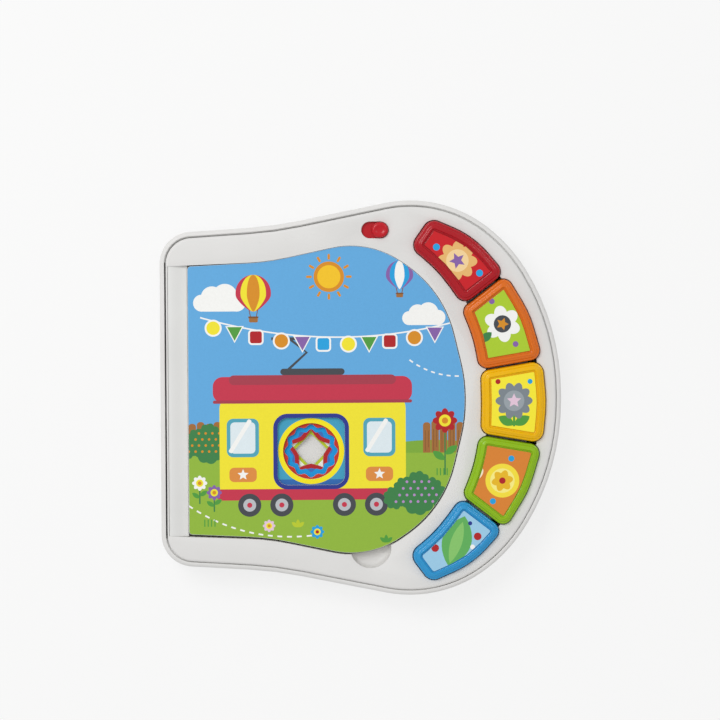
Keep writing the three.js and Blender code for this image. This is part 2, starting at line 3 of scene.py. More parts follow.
import bmesh
import bpy
from mathutils import Matrix, Vector
from mathutils.geometry import delaunay_2d_cdt


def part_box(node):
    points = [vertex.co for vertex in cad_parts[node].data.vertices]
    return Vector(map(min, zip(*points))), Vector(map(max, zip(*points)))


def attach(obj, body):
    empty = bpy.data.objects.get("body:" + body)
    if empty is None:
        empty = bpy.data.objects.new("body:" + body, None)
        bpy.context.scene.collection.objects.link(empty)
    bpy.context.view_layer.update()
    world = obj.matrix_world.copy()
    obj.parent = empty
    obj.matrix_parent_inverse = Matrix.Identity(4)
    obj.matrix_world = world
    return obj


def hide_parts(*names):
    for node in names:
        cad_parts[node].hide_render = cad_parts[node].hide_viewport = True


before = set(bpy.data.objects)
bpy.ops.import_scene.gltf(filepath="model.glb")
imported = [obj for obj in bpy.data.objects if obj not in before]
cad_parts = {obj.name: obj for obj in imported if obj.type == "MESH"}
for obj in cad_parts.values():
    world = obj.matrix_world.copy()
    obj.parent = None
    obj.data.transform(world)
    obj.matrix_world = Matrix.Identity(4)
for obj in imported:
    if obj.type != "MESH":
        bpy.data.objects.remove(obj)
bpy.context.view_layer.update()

MM = 0.001


def box_mm(node):
    """Lowest and highest corner of a solid, in millimetres."""
    low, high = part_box(node)
    return [c / MM for c in low], [c / MM for c in high]


def plan_of(node):
    """Middle and size of a solid seen from above: x, y, width, length."""
    low, high = box_mm(node)
    return (low[0] + high[0]) / 2, (low[1] + high[1]) / 2, high[0] - low[0], high[1] - low[1]


# Outlines as corner lists in millimetres: x, y, corner radius
CASE_HALF = [
    (-125, 103, 20), (-54, 107.6, 233), (50, 128.8, 79), (93.5, 95.5, 100), (125, 44.1, 148),
]
CREASE_X = -107.7
LEAF_MIDDLE_Y = -0.6
LEAF_HALF = [
    (CREASE_X, 83.3, 2), (-58, 85.8, 150), (5.3, 99.4, 55), (51, 67.6, 72), (64.4, 12.2, 94),
]
BUTTONS = {
    "red": [
        (30.6, 94.1, 7), (48.2, 79.8, 90), (63.6, 57.9, 6.5),
        (89.5, 77.8, 6.5), (70.1, 100.7, 60), (43.0, 112.1, 7),
    ],
    "orange": [
        (62.7, 55.5, 6), (70.1, 37.9, 90), (73.65, 17.75, 6),
        (112.95, 24.45, 6.5), (104.9, 52.5, 70), (90.2, 76.8, 6),
    ],
    "yellow": [
        (74.55, 16.75, 6), (75.0, -2.7, 150), (74.55, -22.05, 6),
        (112.85, -28.65, 7), (115.3, -2.7, 80), (112.85, 23.25, 7),
    ],
    "green": [
        (89.4, -81.7, 6), (104.3, -57.6, 70), (112.6, -29.85, 6.5),
        (73.65, -23.15, 6), (70.1, -43.3, 90), (62.7, -61.0, 6),
    ],
    "blue": [
        (42.4, -115.0, 7), (69.2, -103.2, 60), (88.3, -82.2, 6.5),
        (62.1, -62.0, 6.5), (46.4, -83.5, 90), (29.2, -97.2, 7),
    ],
}
COLORS = list(BUTTONS)

# Levels read from the solids
CASE_TOP = box_mm("upper_housing")[1][2]
RIM_TOP = box_mm("lower_housing")[1][2]
COVER_UNDER, COVER_TOP = [corner[2] for corner in box_mm("front_cover")]
PAGES_UNDER = box_mm("page_block")[0][2]
BUTTON_TOP = box_mm("button_red")[1][2]

# Sizes of the shells, leaves and caps
FOOT = 1.5
RIM_WIDTH = 2.9
FACE_INSET = 3.55
FACE_SHIFT = (0.2, -0.22)
FACE_WALL = 2.0
PLATE_UNDER = CASE_TOP - 2.2
LEDGE_Z = CASE_TOP - 7.5
LEDGE_INSET = 5.6
FLOOR_TOP = 3.7
LEAF_PITCH = 2.2
LEAF = 2.05
PAGES_TOP = COVER_UNDER - (LEAF_PITCH - LEAF)
TRAY_Z = PAGES_UNDER - 0.3
TRAY_UNDER = TRAY_Z - 2.0
TRAY_GAP = 0.65
TRAY_SHIFT = -0.5
INK_HEIGHT = 0.04
PRINT_INSET = 0.12
HOLE_GROWTH = 0.02
BUTTON_GAP = 0.45
FIELD_Z = BUTTON_TOP - 1.3
FIELD_INSET = {"red": 6.4, "orange": 6.2, "yellow": 5.9, "green": 5.4, "blue": 5.5}
WINDOW = (-31.5, -32.7)
WINDOW_HALF = 21.0
WINDOW_CORNER = 6.3
DIAMOND_HALF = 10.6
NOTCH = (5.3, -93.0)
NOTCH_RADIUS = 12.8
NOTCH_DEPTH = 7.9
SWITCH = (8.8, 104.9)
SLOT_LENGTH = 17.0
SLOT_WIDTH = 10.3
KNOB_GAP = 0.35
KNOB_TRAVEL = 6.0


def mirrored(half, middle_y=0.0):
    """The whole outline from the corners of its upper half."""
    upper = [(x, middle_y + y, r) for x, y, r in reversed(half)]
    return upper + [(x, middle_y - y, r) for x, y, r in half]


CASE = mirrored(CASE_HALF)
LEAF_OUTLINE = mirrored(LEAF_HALF, LEAF_MIDDLE_Y)
STRIP_LOW, STRIP_HIGH = box_mm("spine_strip")
STRIP_LEFT = STRIP_LOW[0] - 0.5
STRIP_FOOT = STRIP_LOW[1] - 0.75
STRIP_RIGHT = STRIP_HIGH[0] + 0.18
TRAY_LEFT = STRIP_LOW[0] + 0.05
TRAY_OUTLINE = mirrored([(TRAY_LEFT, LEAF_HALF[0][1], 0), *LEAF_HALF[1:]], LEAF_MIDDLE_Y)


def inset_corners(corners, inset):
    """Corners moved inwards, with corner radii that keep the wall even."""
    count = len(corners)
    edges = []
    for i, (x, y, _) in enumerate(corners):
        nx, ny, _ = corners[(i + 1) % count]
        length = math.hypot(nx - x, ny - y)
        edges.append((x, y, (nx - x) / length, (ny - y) / length))
    result = []
    for i, (_, _, r) in enumerate(corners):
        ax, ay, adx, ady = edges[i - 1]
        bx, by, bdx, bdy = edges[i]
        ax, ay = ax - ady * inset, ay + adx * inset
        bx, by = bx - bdy * inset, by + bdx * inset
        cross = adx * bdy - ady * bdx
        if abs(cross) < 1e-9:
            along = (bx - ax) * adx + (by - ay) * ady
        else:
            along = ((bx - ax) * bdy - (by - ay) * bdx) / cross
        radius = max(r - inset, 0.4) if cross >= 0 else r + inset
        result.append((ax + adx * along, ay + ady * along, radius))
    return result


def rounded(corners, inset=0.0, step=4.0):
    """Points of a polygon with round corners; the count doesn't depend on the inset."""
    items = inset_corners(corners, inset)
    count = len(items)
    turns = []
    for i, (x, y, _) in enumerate(items):
        px, py, _ = items[i - 1]
        nx, ny, _ = items[(i + 1) % count]
        before = math.atan2(y - py, x - px)
        after = math.atan2(ny - y, nx - x)
        turn = math.atan2(math.sin(after - before), math.cos(after - before))
        turns.append((before, turn, math.hypot(nx - x, ny - y)))
    reach = [abs(item[2] * math.tan(turns[i][1] / 2)) for i, item in enumerate(items)]
    points = []
    for i, (x, y, r) in enumerate(items):
        back = turns[i - 1][2] / (reach[i] + reach[i - 1])
        ahead = turns[i][2] / (reach[i] + reach[(i + 1) % count])
        radius = r * min(1, back, ahead)
        before, turn, _ = turns[i]
        side = math.copysign(1, turn)
        start = abs(radius * math.tan(turn / 2))
        cx = x - math.cos(before) * start - math.sin(before) * radius * side
        cy = y - math.sin(before) * start + math.cos(before) * radius * side
        steps = max(2, math.ceil(math.degrees(abs(turn)) / step))
        for k in range(steps + 1):
            angle = before - side * math.pi / 2 + turn * k / steps
            points.append((cx + radius * math.cos(angle), cy + radius * math.sin(angle)))
    return points


def anticlockwise(points):
    swept = sum(points[i - 1][0] * y - x * points[i - 1][1] for i, (x, y) in enumerate(points))
    return points if swept > 0 else list(reversed(points))


def offset(points, distance):
    """Points moved outwards along the corner normals, for an anticlockwise outline."""
    count = len(points)
    result = []
    for i, (x, y) in enumerate(points):
        px, py = points[i - 1]
        nx, ny = points[(i + 1) % count]
        tangent = Vector((nx - px, ny - py)).normalized()
        result.append((x + tangent.y * distance, y - tangent.x * distance))
    return result


def circle(x, y, radius, sides=48):
    turns = [math.tau * i / sides for i in range(sides)]
    return [(x + radius * math.cos(angle), y + radius * math.sin(angle)) for angle in turns]


def stadium(x, y, length, width):
    """A slot with round ends along X."""
    radius = width / 2
    half = length / 2 - radius
    ends = []
    for cx, begin in ((x + half, -math.pi / 2), (x - half, math.pi / 2)):
        for i in range(17):
            angle = begin + math.pi * i / 16
            ends.append((cx + radius * math.cos(angle), y + radius * math.sin(angle)))
    return ends


def box_corners(x, y, width, height, radius):
    w, h = width / 2, height / 2
    corners = [(x + w, y - h), (x + w, y + h), (x - w, y + h), (x - w, y - h)]
    return [(*corner, radius) for corner in corners]


def box_outline(x, y, width, height, radius):
    return rounded(box_corners(x, y, width, height, radius), 0, 12)


def turned(points, angle, about=(0, 0)):
    c, s = math.cos(math.radians(angle)), math.sin(math.radians(angle))
    ax, ay = about
    return [(ax + (x - ax) * c - (y - ay) * s, ay + (x - ax) * s + (y - ay) * c) for x, y in points]


def moved(points, dx, dy):
    return [(x + dx, y + dy) for x, y in points]


# Colours are written as screen values and used as linear ones
def linear(value):
    value /= 255
    return value / 12.92 if value <= 0.04045 else ((value + 0.055) / 1.055) ** 2.4


def color_of(text):
    return tuple(linear(int(text[i:i + 2], 16)) for i in (0, 2, 4)) + (1.0,)


class Nodes:
    """Short way to build a material's node tree."""

    def __init__(self, name, roughness, metallic=0.0):
        self.material = bpy.data.materials.new(name)
        self.material.use_nodes = True
        self.tree = self.material.node_tree
        self.shader = self.tree.nodes["Principled BSDF"]
        self.shader.inputs["Roughness"].default_value = roughness
        self.shader.inputs["Metallic"].default_value = metallic
        self.shader.inputs["Specular IOR Level"].default_value = 0.3
        self.place = self.add("ShaderNodeTexCoord").outputs["Object"]

    def add(self, kind, **settings):
        node = self.tree.nodes.new(kind)
        for key, value in settings.items():
            setattr(node, key, value)
        return node

    def link(self, source, target):
        self.tree.links.new(source, target)

    def noise(self, scale, detail, roughness=0.5):
        node = self.add("ShaderNodeTexNoise")
        node.inputs["Scale"].default_value = scale
        node.inputs["Detail"].default_value = detail
        node.inputs["Roughness"].default_value = roughness
        self.link(self.place, node.inputs["Vector"])
        return node.outputs["Fac"]

    def ramp(self, source, low, high):
        """Spreads the middle of a noise over the range from low to high."""
        node = self.add("ShaderNodeMapRange")
        node.inputs["From Min"].default_value = 0.3
        node.inputs["From Max"].default_value = 0.7
        node.inputs["To Min"].default_value = low
        node.inputs["To Max"].default_value = high
        self.link(source, node.inputs["Value"])
        return node.outputs["Result"]

    def shades(self, source, first, second):
        """A base colour that wanders between two colours with a noise."""
        node = self.add("ShaderNodeMix", data_type="RGBA")
        self.link(self.ramp(source, 0.0, 1.0), node.inputs["Factor"])
        targets = [s for s in node.inputs if s.type == "RGBA"]
        targets[0].default_value, targets[1].default_value = first, second
        mixed = next(s for s in node.outputs if s.type == "RGBA")
        self.link(mixed, self.shader.inputs["Base Color"])

    def tint(self, source, text, dark, light):
        base = color_of(text)
        self.shades(source, shade_of(base, dark), shade_of(base, light))

    def gloss(self, source, middle, down, up):
        uneven = self.ramp(source, middle - down, middle + up)
        self.link(uneven, self.shader.inputs["Roughness"])

    def bump(self, source, strength, distance):
        node = self.add("ShaderNodeBump")
        node.inputs["Strength"].default_value = strength
        node.inputs["Distance"].default_value = distance
        self.link(source, node.inputs["Height"])
        self.link(node.outputs["Normal"], self.shader.inputs["Normal"])


def shade_of(color, factor):
    return tuple(min(1.0, c * factor) for c in color[:3]) + (1.0,)


def plastic(name, color, roughness, grain=0.12, spread=0.05):
    """Moulded plastic: faint flow marks in the colour, fine spark texture, uneven gloss."""
    nodes = Nodes(name, roughness)
    nodes.tint(nodes.noise(26, 2), color, 0.975, 1.02)
    nodes.gloss(nodes.noise(420, 3), roughness, spread, spread)
    nodes.bump(nodes.noise(2600, 2), grain, 0.00008)
    return nodes.material


def ink(name, color):
    """Printed and laminated board: slight ink mottle under a film with a faint ripple."""
    nodes = Nodes(name, 0.45)
    nodes.tint(nodes.noise(900, 4, 0.6), color, 0.97, 1.02)
    nodes.bump(nodes.noise(240, 2), 0.06, 0.0002)
    return nodes.material


def board(name, color):
    """Cut edge of grey-white board, with the layers of the pulp as fine lines along the edge."""
    nodes = Nodes(name, 0.85)
    stretch = nodes.add("ShaderNodeMapping")
    stretch.inputs["Scale"].default_value = (120, 120, 3200)
    nodes.link(nodes.place, stretch.inputs["Vector"])
    pulp = nodes.add("ShaderNodeTexNoise")
    pulp.inputs["Scale"].default_value = 1.0
    pulp.inputs["Detail"].default_value = 3.0
    nodes.link(stretch.outputs["Vector"], pulp.inputs["Vector"])
    nodes.tint(pulp.outputs["Fac"], color, 0.82, 1.05)
    nodes.bump(pulp.outputs["Fac"], 0.2, 0.0001)
    return nodes.material


def metal(name, color, roughness):
    """Plain metal with faint marks and uneven gloss."""
    nodes = Nodes(name, roughness, 1.0)
    nodes.tint(nodes.noise(600, 4), color, 0.85, 1.0)
    nodes.gloss(nodes.noise(900, 3), roughness, 0.08, 0.1)
    nodes.bump(nodes.noise(3000, 2), 0.1, 0.00005)
    return nodes.material


FRAME_COLORS = {
    "red": "AC1420", "orange": "DA6C1A", "yellow": "EBB400", "green": "8CB916", "blue": "2E94CC",
}
case_plastic = plastic("case_plastic", "DDDCDA", 0.42)
strip_plastic = plastic("strip_plastic", "E0E0DE", 0.38)
button_plastic = {
    name: plastic(f"{name}_plastic", text, 0.28, 0.05, 0.03) for name, text in FRAME_COLORS.items()
}
for glossy in button_plastic.values():
    inputs = glossy.node_tree.nodes["Principled BSDF"].inputs
    inputs["Specular IOR Level"].default_value = 0.15
    inputs["Coat Weight"].default_value = 0.25
    inputs["Coat Roughness"].default_value = 0.12
switch_plastic = plastic("switch_plastic", "BE1522", 0.26, 0.04, 0.03)
dark_plastic = plastic("dark_plastic", "2C2C2E", 0.5)
rubber = plastic("pad_rubber", "D6D6D0", 0.7, 0.2)
circuit = plastic("board_green", "2B7440", 0.4)
steel = metal("plain_steel", "B4B4B4", 0.32)
magnet = metal("magnet_grey", "5A5E62", 0.45)
cell_sleeve = plastic("cell_sleeve", "8A8E94", 0.3)
cone_paper = plastic("cone_paper", "262626", 0.85, 0.4)
core_board = board("core_board", "D8D4CA")

INKS = {}


def ink_of(text):
    if text not in INKS:
        INKS[text] = ink(f"ink_{text.lower()}", text)
    return INKS[text]


# Meshes
def put_in_scene(name, data):
    item = bpy.data.objects.new(name, data)
    bpy.context.scene.collection.objects.link(item)
    return item


def add_object(name, vertices, faces, materials):
    mesh = bpy.data.meshes.new(name)
    mesh.from_pydata([(x * MM, y * MM, z * MM) for x, y, z in vertices], [], faces)
    for material in materials:
        mesh.materials.append(material)
    return put_in_scene(name, mesh)


def add_body(name, vertices, faces, material, smooth):
    """A closed body with its faces turned outwards and its round parts shaded smooth."""
    piece = add_object(name, vertices, faces, [material])
    bm = bmesh.new()
    bm.from_mesh(piece.data)
    bmesh.ops.remove_doubles(bm, verts=bm.verts, dist=1e-7)
    bmesh.ops.recalc_face_normals(bm, faces=bm.faces)
    bm.to_mesh(piece.data)
    bm.free()
    soften(piece, smooth)
    return piece


def soften(piece, degrees):
    mesh = piece.data
    mesh.polygons.foreach_set("use_smooth", [True] * len(mesh.polygons))
    mesh.set_sharp_from_angle(angle=math.radians(degrees))


def side_faces(levels, count):
    """Quads between rings of points that follow each other."""
    faces = []
    for low in range(0, (levels - 1) * count, count):
        for i in range(count):
            j = (i + 1) % count
            faces.append((low + i, low + j, low + count + j, low + count + i))
    return faces


def loft(name, rings, material, smooth=35):
    """A closed body through rings of equal count, each a list of points and a level."""
    count = len(rings[0][0])
    vertices = [(x, y, z) for points, z in rings for x, y in points]
    faces = side_faces(len(rings), count)
    faces.append(tuple(reversed(range(count))))
    faces.append(tuple(range(len(vertices) - count, len(vertices))))
    return add_body(name, vertices, faces, material, smooth)


def carve(piece, cutters, smooth=35, operation="DIFFERENCE"):
    """Cuts, joins or limits the piece with closed bodies, one by one."""
    for cutter in cutters:
        modifier = piece.modifiers.new("carve", "BOOLEAN")
        modifier.operation = operation
        modifier.solver = "EXACT"
        modifier.object = cutter
    graph = bpy.context.evaluated_depsgraph_get()
    mesh = bpy.data.meshes.new_from_object(piece.evaluated_get(graph))
    piece.modifiers.clear()
    piece.data = mesh
    for cutter in cutters:
        bpy.data.objects.remove(cutter)
    bm = bmesh.new()
    bm.from_mesh(mesh)
    bmesh.ops.remove_doubles(bm, verts=bm.verts, dist=1e-6)
    bmesh.ops.dissolve_degenerate(bm, edges=bm.edges, dist=1e-7)
    bm.to_mesh(mesh)
    bm.free()
    soften(piece, smooth)


def prism(name, points, low, high):
    return loft(name, [(points, low), (points, high)], case_plastic)


def pocket(name, points, low, high, lip):
    """A cutter for an opening whose edge is broken by a small round lip at the level high."""
    rings = [(points, low), (points, high - lip)]
    for step in (0.33, 0.66, 1.0):
        angle = step * math.pi / 2
        wider = offset(points, lip * (1 - math.cos(angle)))
        rings.append((wider, high - lip + lip * math.sin(angle)))
    rings.append((offset(points, lip), high + 3))
    return loft(name, rings, case_plastic)


def painted(name, region, holes, shapes, low, high, ground, side=None, flip=False):
    """A flat sheet whose face is cut into the fields of the given shapes, later ones on top.

    The print is on the upper face, or with flip on the lower one. The side material is on the rest.
    """
    outlines = [region, *holes, *[points for points, _ in shapes]]
    vertices, faces = [], []
    for points in outlines:
        start = len(vertices)
        vertices.extend(Vector(p) for p in anticlockwise(points))
        faces.append(list(range(start, start + len(points))))
    flat, _, triangles, _, _, owners = delaunay_2d_cdt(vertices, [], faces, 1, 1e-5)
    first_shape = 1 + len(holes)
    names = [ground, *dict.fromkeys(text for _, text in shapes if text != ground)]
    materials = [ink_of(text) for text in names]
    kept, indices = [], []
    for triangle, owner in zip(triangles, owners):
        if 0 not in owner or any(1 <= k < first_shape for k in owner):
            continue
        top = max(owner)
        kept.append(tuple(triangle))
        indices.append(names.index(shapes[top - first_shape][1]) if top >= first_shape else 0)
    count = len(flat)
    solid = [(p.x, p.y, high) for p in flat] + [(p.x, p.y, low) for p in flat]
    edges = {}
    for triangle in kept:
        for k in range(len(triangle)):
            a, b = triangle[k], triangle[(k + 1) % len(triangle)]
            if edges.pop((b, a), None) is None:
                edges[(a, b)] = True
    materials.append(side or materials[0])
    edge_index = len(materials) - 1
    plain = [edge_index] * len(kept)
    faces = [*kept, *[tuple(i + count for i in reversed(t)) for t in kept]]
    faces += [(a + count, b + count, b, a) for a, b in edges]
    indices = (plain + indices if flip else indices + plain) + [edge_index] * len(edges)
    used = sorted({i for face in faces for i in face})
    place = {old: new for new, old in enumerate(used)}
    faces = [tuple(place[i] for i in face) for face in faces]
    piece = add_object(name, [solid[i] for i in used], faces, materials)
    piece.data.polygons.foreach_set("material_index", indices)
    return piece


def finish_piece(piece, body, slot, *nodes):
    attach(piece, body)
    if nodes:
        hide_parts(*nodes)


# Case
def round_edge(corners, inset, top, radius, steps):
    """Rings that roll from the wall over to the face."""
    rings = []
    for k in range(steps + 1):
        angle = math.pi / 2 * k / steps
        drop = radius * (1 - math.sin(angle))
        rings.append((rounded(corners, inset + radius * (1 - math.cos(angle))), top - drop))
    return rings


def button_opening():
    """The one opening that the five buttons share."""
    cutters = []
    for name in COLORS:
        outline = rounded(BUTTONS[name], -BUTTON_GAP, 6)
        cutters.append(pocket(f"cut_{name}", outline, LEDGE_Z - 2, CASE_TOP, 0.35))
    for first, second in zip(COLORS, COLORS[1:]):
        start, end = [
            Vector(((ax + bx) / 2, (ay + by) / 2))
            for ax, ay, _ in BUTTONS[first] for bx, by, _ in BUTTONS[second]
            if math.hypot(ax - bx, ay - by) < 3
        ]
        along = (end - start).normalized() * 3.5
        line = stroke([start + along, end - along], 2.2)
        cutters.append(prism(f"cut_between_{first}", line, LEDGE_Z - 2, CASE_TOP + 1))
    return cutters


def build_upper():
    """Face, skirt, tray, finger notch and openings."""
    face_round, tray_side, cup_side = 1.7, 3.0, 1.8
    rings = [(rounded(CASE, FACE_INSET), LEDGE_Z + 0.3)]
    rings += round_edge(CASE, FACE_INSET, CASE_TOP, face_round, 6)
    upper = loft("upper_shell", [(moved(ring, *FACE_SHIFT), z) for ring, z in rings], case_plastic)
    hollow = prism("cut_hollow", rounded(CASE, FACE_INSET + FACE_WALL), LEDGE_Z - 1, PLATE_UNDER)
    carve(upper, [hollow])
    wall = rounded(TRAY_OUTLINE, -tray_side)
    tray_wall = prism("tray_wall", wall, TRAY_UNDER, PLATE_UNDER + 0.5)
    extent = moved(rounded(CASE, FACE_INSET + 0.01), *FACE_SHIFT)
    limit = prism("tray_limit", extent, TRAY_UNDER - 1, PLATE_UNDER + 1)
    carve(tray_wall, [limit], operation="INTERSECT")
    bottom = CASE_TOP - NOTCH_DEPTH
    around = circle(*NOTCH, NOTCH_RADIUS + cup_side)
    cup = prism("notch_cup", around, bottom - cup_side, CASE_TOP - 1)
    carve(upper, [tray_wall, cup], operation="UNION")
    profile = [
        (-3.2, bottom), (-1.6, bottom + 0.5), (-0.5, bottom + 1.6), (0, bottom + 3.2),
        (0, CASE_TOP - 0.6), (0.18, CASE_TOP - 0.18), (0.6, CASE_TOP), (0.6, CASE_TOP + 2),
    ]
    scoop = [(circle(*NOTCH, NOTCH_RADIUS + wider), z) for wider, z in profile]
    opening = moved(rounded(TRAY_OUTLINE, -TRAY_GAP), 0, TRAY_SHIFT)
    slot = stadium(*SWITCH, SLOT_LENGTH, SLOT_WIDTH)
    cutters = [
        pocket("cut_tray", opening, TRAY_Z, CASE_TOP, 0.25),
        loft("cut_notch", scoop, case_plastic),
        pocket("cut_slot", slot, PLATE_UNDER - 2, CASE_TOP, 0.35),
        *button_opening(),
    ]
    carve(upper, cutters, 40)
    finish_piece(upper, "case", "case_plastic", "upper_housing")


def build_lower():
    """Outer wall, floor and rim, with room for the tray."""
    low_round, rim_round = 2.2, 2.3
    low_edge = reversed(round_edge(CASE, 0, 0, low_round, 5))
    rings = [(points, FOOT - z) for points, z in low_edge]
    rings += round_edge(CASE, 0, RIM_TOP, rim_round, 7)
    lower = loft("lower_shell", rings, case_plastic)
    cutters = [
        pocket("cut_rim", rounded(CASE, RIM_WIDTH), RIM_TOP - 1.7, RIM_TOP, 0.4),
        prism("cut_step", rounded(CASE, FACE_INSET - 0.06), LEDGE_Z, RIM_TOP),
        prism("cut_inside", rounded(CASE, LEDGE_INSET), FLOOR_TOP, LEDGE_Z + 1),
    ]
    carve(lower, cutters)
    tray_room = prism("tray_room", rounded(TRAY_OUTLINE, -3.4), TRAY_UNDER - 0.3, RIM_TOP + 1)
    limit = prism("room_limit", rounded(CASE, RIM_WIDTH), FLOOR_TOP, RIM_TOP + 2)
    carve(tray_room, [limit], operation="INTERSECT")
    carve(lower, [tray_room])
    return lower


FEET = [(-98, 74), (-98, -74), (84, 62), (84, -62)]
SCREWS = [
    (-112, 92.5), (-50, 97.6), (29.5, 111.8), (69, 0), (29.5, -111.8), (-50, -97.6), (-112, -92.5),
]
SOUND_PITCH = 5.2
DOOR_GAP = 0.4


def build_back(lower):
    """The back of the case: feet, screw wells, sound holes and the seat of the battery door."""
    centre = plan_of("speaker_frame")[0]
    profile = [(6.3, 0.0), (6.8, 0.25), (7.0, 0.7), (7.0, FLOOR_TOP - 1)]
    feet = []
    for index, foot in enumerate(FEET):
        rings = [(circle(*foot, radius, 32), z) for radius, z in profile]
        feet.append(loft(f"foot_{index}", rings, case_plastic))
    carve(lower, feet, operation="UNION")
    cutters = [
        prism(f"cut_screw_{index}", circle(*screw, 2.9, 24), 0, 4.9)
        for index, screw in enumerate(SCREWS)
    ]
    places = [(centre, 0.0)]
    for ring in (1, 2):
        for k in range(6 * ring):
            angle = math.tau * k / (6 * ring)
            radius = ring * SOUND_PITCH
            places.append((centre + radius * math.cos(angle), radius * math.sin(angle)))
    for index, place in enumerate(places):
        cutters.append(prism(f"cut_sound_{index}", circle(*place, 1.3, 16), 0, FLOOR_TOP + 1))
    x, y, width, length = plan_of("battery_door")
    seat = box_outline(x, y, width + 2 * DOOR_GAP, length + 2 * DOOR_GAP, 1.6)
    cutters.append(prism("cut_door", seat, 0, 3.6))
    carve(lower, cutters)
    finish_piece(lower, "case", "case_plastic", "lower_housing")


def build_door():
    """Battery door with its screw well and grip lines."""
    low, high = box_mm("battery_door")
    x, y, width, length = plan_of("battery_door")
    outline = box_outline(x, y, width, length, 1.4)
    rings = [(offset(outline, -0.3), low[2]), (outline, low[2] + 0.3), (outline, high[2])]
    door = loft("door_panel", rings, case_plastic)
    screw = plan_of("battery_door_screw")[:2]
    cutters = [
        prism("cut_door_screw", circle(*screw, 2.95, 24), 0, low[2] + 0.9),
        prism("cut_door_hole", circle(*screw, 1.7, 16), 0, high[2] + 1),
    ]
    for k in range(5):
        grip = box_outline(x, low[1] + 4 + 2 * k, 14, 0.9, 0.4)
        cutters.append(prism(f"cut_grip_{k}", grip, 0, low[2] + 0.5))
    carve(door, cutters)
    finish_piece(door, "case", "case_plastic", "battery_door")


def build_strip():
    """A bar whose face is level at the left and falls towards the leaves."""
    foot, top = STRIP_LOW[2], STRIP_HIGH[2]
    width = STRIP_RIGHT - STRIP_LEFT
    fall, step, chamfer = 2.1, 0.7, 0.25
    section = [(STRIP_LEFT, foot), (STRIP_RIGHT, foot), (STRIP_RIGHT, top - fall - step)]
    steps = 28
    for k in range(steps + 1):
        t = 1 - k / steps
        z = top - fall * (1 - math.cos(math.pi * min(1, max(0, (t - 0.05) / 0.85)))) / 2
        edge = 0.5 * max(0, (t - 0.95) / 0.05) ** 2 + 0.5 * max(0, (0.05 - t) / 0.05) ** 2
        section.append((STRIP_LEFT + width * t, z - edge))
    vertices = []
    ends = [STRIP_FOOT, STRIP_FOOT + chamfer, STRIP_HIGH[1] - chamfer, STRIP_HIGH[1]]
    count = len(section)
    for index, y in enumerate(ends):
        drop = chamfer if index in (0, 3) else 0.0
        for x, z in section:
            vertices.append((x, y, z - drop if z > foot + 1 else z))
    faces = side_faces(len(ends), count)
    faces.append(tuple(range(count)))
    faces.append(tuple(reversed(range(3 * count, 4 * count))))
    strip = add_body("spine_bar", vertices, faces, strip_plastic, 30)
    finish_piece(strip, "case", "strip_plastic", "spine_strip")


# Steps of a button's frame: share of the way to the field, and drop from the top
CAP_STEPS = [
    (0.05, 2.5), (0.08, 1.9), (0.13, 1.62), (0.2, 1.5), (0.27, 1.5), (0.31, 1.1), (0.36, 0.72),
    (0.43, 0.5), (0.52, 0.42), (0.56, 0.2), (0.62, 0.04), (0.7, 0), (0.76, 0.06), (0.8, 0.3),
    (0.83, 0.9), (0.88, 1.0), (0.93, 1.06), (0.96, 1.4),
]


def build_button(name):
    """A cap with stepped ridges round a recessed field, as moulded."""
    profile = [(0.0, PLATE_UNDER - 1.9), (0.0, CASE_TOP + 0.4), (0.02, CASE_TOP + 1.1)]
    profile += [(share, BUTTON_TOP - drop) for share, drop in CAP_STEPS]
    profile.append((1.0, FIELD_Z))
    rings = [(rounded(BUTTONS[name], share * FIELD_INSET[name], 5), z) for share, z in profile]
    cap = loft(f"cap_{name}", rings, button_plastic[name], 32)
    finish_piece(cap, f"key_{name}", f"{name}_plastic", f"button_{name}")


def build_switch():
    """The slider under the plate and the knob that stands in the slot."""
    low, high = box_mm("switch_knob")
    length = SLOT_LENGTH - KNOB_TRAVEL - 2 * KNOB_GAP
    width = SLOT_WIDTH - 2 * KNOB_GAP
    x, y = SWITCH[0] + SLOT_LENGTH / 2 - KNOB_GAP - length / 2, SWITCH[1]
    slider_top, top = PLATE_UNDER - 0.3, high[2]
    slider_x, _, slider_length, slider_width = plan_of("switch_knob")
    slider = stadium(slider_x, y, slider_length, slider_width)
    plate = loft("slider_plate", [(slider, low[2]), (slider, slider_top)], switch_plastic)
    profile = [
        (0, top - slider_top + 0.5), (0, 1.4), (0.15, 0.8), (0.5, 0.35), (1.1, 0.08),
        (1.8, 0.0), (2.4, 0.15), (3.0, 0.4), (3.6, 0.5),
    ]
    rings = [
        (stadium(x, y, length - 2 * inset, width - 2 * inset), top - drop)
        for inset, drop in profile
    ]
    knob = loft("slider_knob", rings, switch_plastic, 50)
    carve(plate, [knob], 50, "UNION")
    plate.name = "switch_slider"
    finish_piece(plate, "switch", "switch_plastic", "switch_knob")


# Printed art, each shape a list of points and a colour
SKY, GRASS, YELLOW, RED, DARK_RED = "60A8DC", "90B63A", "F0E22E", "C4324A", "A53A4B"
NAVY, ORANGE, WHITE, GREEN, BUSH = "26348C", "D68C1C", "F3F3F0", "4E9A3C", "3A7F46"
PURPLE, BROWN, DARK_BROWN, TEAL, AMBER = "8560A6", "A06A34", "7C4E26", "4FA3B8", "DC8C40"
LIME, CYAN, PINK, CRIMSON, PALE = "B9C92A", "1FA0DC", "E3C5D8", "B01A20", "DDE9EE"
CHARCOAL, LILAC = "43464C", "B58CC4"


def star(x, y, tip, waist):
    """Five points, the first one upwards."""
    result = []
    for i in range(10):
        angle = math.radians(90 + 36 * i)
        radius = waist if i % 2 else tip
        result.append((x + radius * math.cos(angle), y + radius * math.sin(angle)))
    return result


